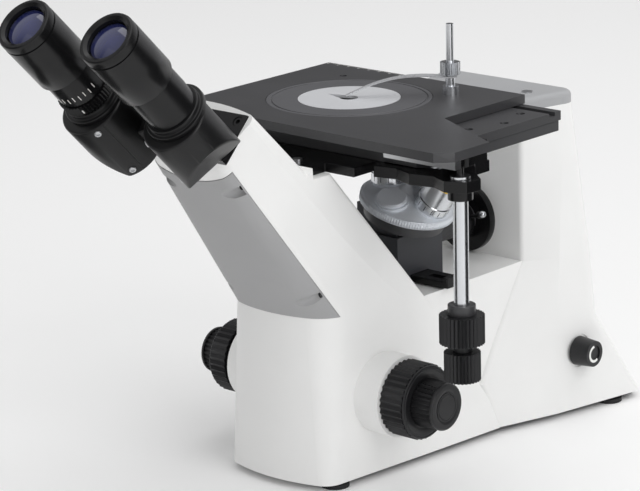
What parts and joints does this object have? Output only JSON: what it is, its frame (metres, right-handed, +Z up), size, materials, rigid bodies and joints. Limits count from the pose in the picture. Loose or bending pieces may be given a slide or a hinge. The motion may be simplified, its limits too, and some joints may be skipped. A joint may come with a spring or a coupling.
{
  "type": "inverted metallurgical microscope",
  "caption": "Free-standing inverted microscope with leaning stand, folding binocular head, turning nosepiece, cross-travel stage on a hanging drive rod and reflected-light tower.",
  "frame": {"origin": "on the bench under the optical axis of the working objective", "axes": "+X to the user's right, +Y to the rear, +Z up"},
  "size_m": [0.2649, 0.5096, 0.3666],
  "materials": {
    "body_white": "fine textured powder coat",
    "panel_grey": "matte grey",
    "lid_grey": "matte light grey",
    "dark_grey": "satin dark grey",
    "black_satin": "black anodised, satin",
    "black_plastic": "matte black",
    "rubber": "matte",
    "chrome": "polished",
    "steel": "satin",
    "black_metal": "black anodised",
    "glass": "blue coated"
  },
  "bodies": {
    "stand": {"front_stand": "body_white", "rear_housing": "body_white", "bottom_plate": "dark_grey", "rubber_feet": "rubber", "front_panel": "panel_grey", "tower_lid": "lid_grey", "lid_screw": "steel", "vent_cover": "black_plastic", "power_inlet": "black_plastic", "lamp_flange": "black_satin", "light_tube": "black_satin", "column_box": "dark_grey", "stage_support": "black_satin", "support_screws": "steel", "stage_base": "black_satin", "head_plate": "black_satin", "head_screws": "black_metal", "head_pivot": "steel"},
    "coarse_focus": {"focus_shaft": "steel", "left_coarse_knob": "black_plastic", "right_coarse_knob": "black_plastic"},
    "fine_focus": {"fine_shaft": "steel", "left_fine_knob": "black_plastic", "right_fine_knob": "black_plastic"},
    "tension": {"tension_ring": "black_plastic"},
    "lift": {"lift_block": "dark_grey", "turret_base": "black_satin"},
    "nosepiece": {"turret": "steel", "objective_5x": "chrome", "objective_10x": "chrome", "objective_20x": "chrome", "turret_plug": "steel"},
    "dimmer": {"dimmer_knob": "black_plastic"},
    "iris": {"iris_ring": "black_metal"},
    "slider": {"filter_slider": "black_satin"},
    "switch": {"power_switch": "black_plastic"},
    "stage_fore_aft": {"stage_middle": "black_satin", "index_block": "black_satin", "rod_bracket": "black_satin", "rod_bearing": "steel"},
    "stage_cross": {"stage_top": "black_satin", "insert_ring": "dark_grey", "stage_disc": "steel", "clip_post": "chrome", "drive_rack": "steel"},
    "clip": {"clip_leaf": "chrome"},
    "clip_nut": {"clip_nut": "chrome"},
    "drive_fore_aft": {"drive_rod": "chrome", "rod_collar": "black_metal", "upper_knob": "black_plastic"},
    "drive_cross": {"inner_shaft": "steel", "lower_knob": "black_plastic", "drive_pinion": "steel"},
    "left_tube": {"left_arm": "black_satin", "left_eyepiece": "black_satin", "left_eye_lens": "glass"},
    "right_tube": {"right_arm": "black_satin", "right_eyepiece": "black_satin", "right_eye_lens": "glass"},
    "diopter": {"diopter_ring": "black_satin"}
  },
  "joints": [
    {"name": "coarse_focus", "type": "hinge", "parent": "stand", "child": "coarse_focus", "pos_m": [0, -0.071, 0.0623], "axis": [1, 0, 0], "range_deg": [-44.5, 23]},
    {"name": "fine_focus", "type": "hinge", "parent": "stand", "child": "fine_focus", "pos_m": [0, -0.071, 0.0623], "axis": [1, 0, 0], "continuous": true},
    {"name": "focus_tension", "type": "hinge", "parent": "stand", "child": "tension", "pos_m": [0, -0.071, 0.0623], "axis": [1, 0, 0], "range_deg": [-60, 60]},
    {"name": "nosepiece_lift", "type": "slide", "parent": "stand", "child": "lift", "axis": [0, 0, 1], "range_m": [-0.006, 0.003]},
    {"name": "nosepiece_turn", "type": "hinge", "parent": "lift", "child": "nosepiece", "pos_m": [0.01902, 0, 0.18482], "axis": [0.309, 0, 0.9511], "continuous": true},
    {"name": "lamp_dimmer", "type": "hinge", "parent": "stand", "child": "dimmer", "pos_m": [0.077, 0.1215, 0.0484], "axis": [1, 0, 0], "range_deg": [0, 270]},
    {"name": "iris_lever", "type": "hinge", "parent": "stand", "child": "iris", "pos_m": [0, 0.073, 0.1464], "axis": [0, 1, 0], "range_deg": [-35, 35]},
    {"name": "filter_slide", "type": "slide", "parent": "stand", "child": "slider", "axis": [1, 0, 0], "range_m": [0, 0.02]},
    {"name": "power_rocker", "type": "hinge", "parent": "stand", "child": "switch", "pos_m": [0.03, 0.1424, 0.098], "axis": [1, 0, 0], "range_deg": [-7, 7]},
    {"name": "stage_fore_aft", "type": "slide", "parent": "stand", "child": "stage_fore_aft", "axis": [0, 1, 0], "range_m": [-0.005, 0.045]},
    {"name": "stage_cross", "type": "slide", "parent": "stage_fore_aft", "child": "stage_cross", "axis": [1, 0, 0], "range_m": [-0.023, 0.053]},
    {"name": "clip_swing", "type": "hinge", "parent": "stage_cross", "child": "clip", "pos_m": [0.0356, 0.0269, 0.27], "axis": [0, 0, 1], "range_deg": [-35, 80]},
    {"name": "clip_nut_turn", "type": "hinge", "parent": "stage_cross", "child": "clip_nut", "pos_m": [0.0356, 0.0269, 0.27], "axis": [0, 0, 1], "continuous": true},
    {"name": "upper_knob_turn", "type": "hinge", "parent": "stage_fore_aft", "child": "drive_fore_aft", "pos_m": [0.14, -0.091, 0.2], "axis": [0, 0, 1], "range_deg": [-52, 436]},
    {"name": "lower_knob_turn", "type": "hinge", "parent": "stage_fore_aft", "child": "drive_cross", "pos_m": [0.14, -0.091, 0.2], "axis": [0, 0, 1], "range_deg": [-225, 514]},
    {"name": "right_tube_fold", "type": "hinge", "parent": "stand", "child": "right_tube", "pos_m": [0, -0.22168, 0.29168], "axis": [0, -0.7071, 0.7071], "range_deg": [-24.5, 0]},
    {"name": "left_tube_fold", "type": "hinge", "parent": "stand", "child": "left_tube", "pos_m": [0, -0.22168, 0.29168], "axis": [0, -0.7071, 0.7071], "range_deg": [0, 24.5]},
    {"name": "diopter_turn", "type": "hinge", "parent": "left_tube", "child": "diopter", "pos_m": [-0.03751, -0.25853, 0.3015], "axis": [0, -0.7071, 0.7071], "range_deg": [-60, 60]}
  ],
  "couplings": [
    {"joint": "coarse_focus", "follows": "nosepiece_lift", "rad_per_m": 125},
    {"joint": "upper_knob_turn", "follows": "stage_fore_aft", "rad_per_m": 166.67},
    {"joint": "lower_knob_turn", "follows": "stage_cross", "rad_per_m": 166.67},
    {"joint": "left_tube_fold", "follows": "right_tube_fold", "ratio": -1}
  ]
}
